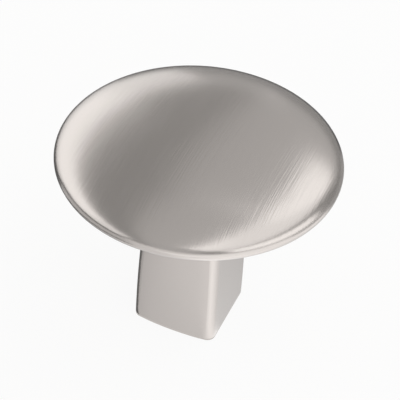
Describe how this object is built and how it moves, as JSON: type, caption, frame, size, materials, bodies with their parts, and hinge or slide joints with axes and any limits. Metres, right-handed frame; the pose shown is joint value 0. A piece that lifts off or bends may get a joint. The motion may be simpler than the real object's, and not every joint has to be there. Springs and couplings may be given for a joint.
{
  "type": "cabinet knob",
  "caption": "Round domed cabinet knob on a square stem, cast in one piece, with a blind screw hole in its base.",
  "frame": {"origin": "middle of the base, on the plane that seats on the door or drawer front", "axes": "+Z out from the door along the screw hole to the crown of the head; the stem's flat sides face X and its bowed sides face Y"},
  "size_m": [0.032, 0.032, 0.0272],
  "materials": {
    "satin_nickel": "satin nickel plate over brushed zinc"
  },
  "bodies": {
    "root": {"knob": "satin_nickel"}
  },
  "joints": []
}
